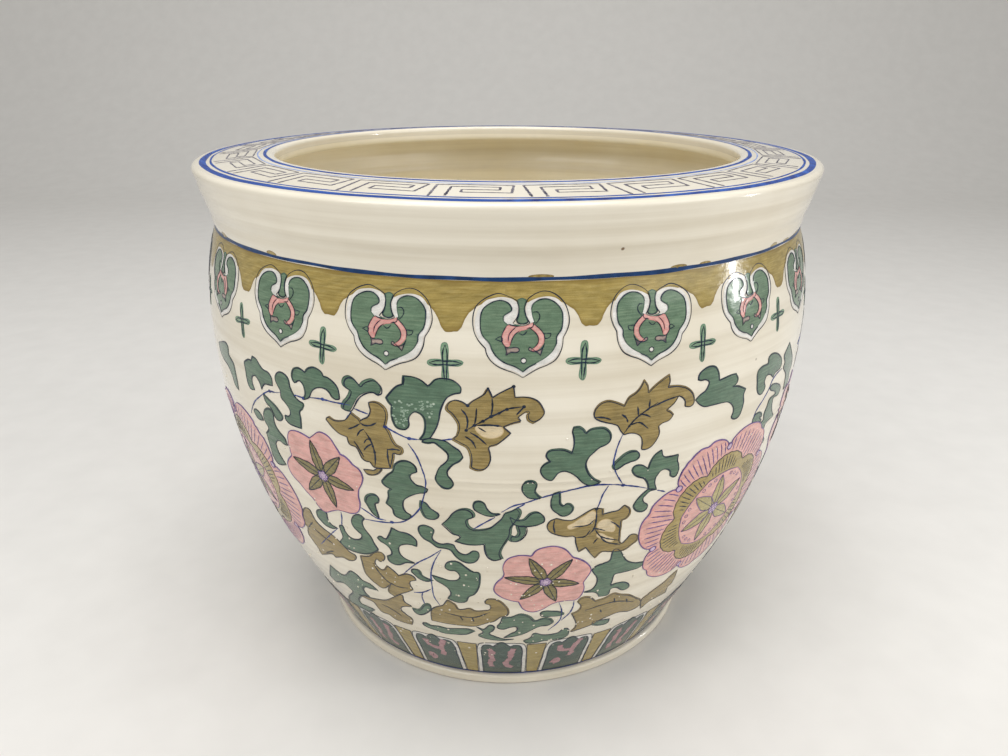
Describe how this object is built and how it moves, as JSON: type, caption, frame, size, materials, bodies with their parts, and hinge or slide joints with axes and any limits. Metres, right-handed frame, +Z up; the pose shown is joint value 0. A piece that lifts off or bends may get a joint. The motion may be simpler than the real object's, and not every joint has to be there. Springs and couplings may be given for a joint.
{
  "type": "ceramic fish bowl planter",
  "caption": "Round-bellied glazed ceramic fish bowl planter with a wide flat rim, small foot ring and painted enamel borders, for plants, water or fish.",
  "frame": {"origin": "centre of the foot ring, on the surface that the pot stands on", "axes": "+Z up along the pot's axis, -Y towards the front of the picture, +X to the right"},
  "size_m": [0.3609, 0.361, 0.3005],
  "materials": {
    "biscuit": "unglazed fired clay, matt",
    "clay": "fired clay under glaze",
    "slip": "fired slip joint",
    "white_glaze": "glossy cream white glaze with pinholes",
    "tan_glaze": "thin satin glaze over tan clay",
    "blue_enamel": "cobalt line, glossy",
    "ink_enamel": "fine dark line, glossy",
    "olive_enamel": "brushed translucent olive enamel",
    "green_enamel": "brushed translucent green enamel",
    "white_enamel": "opaque white enamel",
    "pink_enamel": "rose pink enamel"
  },
  "bodies": {
    "root": {"foot_ring": "biscuit", "foot_lute": "slip", "lower_bowl": "clay", "belly_lute": "slip", "upper_wall": "clay", "neck_lute": "slip", "rim_collar": "clay", "rim_lute": "slip", "rim_plate": "clay", "outside_glaze": "white_glaze", "inside_glaze": "tan_glaze", "rim_glaze": "white_glaze", "rim_outer_band": "blue_enamel", "rim_outer_line": "blue_enamel", "rim_hairline": "blue_enamel", "rim_inner_line": "blue_enamel", "rim_key_fret": "ink_enamel", "neck_line": "blue_enamel", "foot_line": "blue_enamel", "shoulder_band": "olive_enamel", "heart_frames": "white_enamel", "heart_fields": "green_enamel", "heart_scrolls": "pink_enamel", "cross_sprigs": "green_enamel", "foot_panel_frames": "white_enamel", "foot_panels": "green_enamel", "foot_panel_strips": "olive_enamel"}
  },
  "joints": []
}
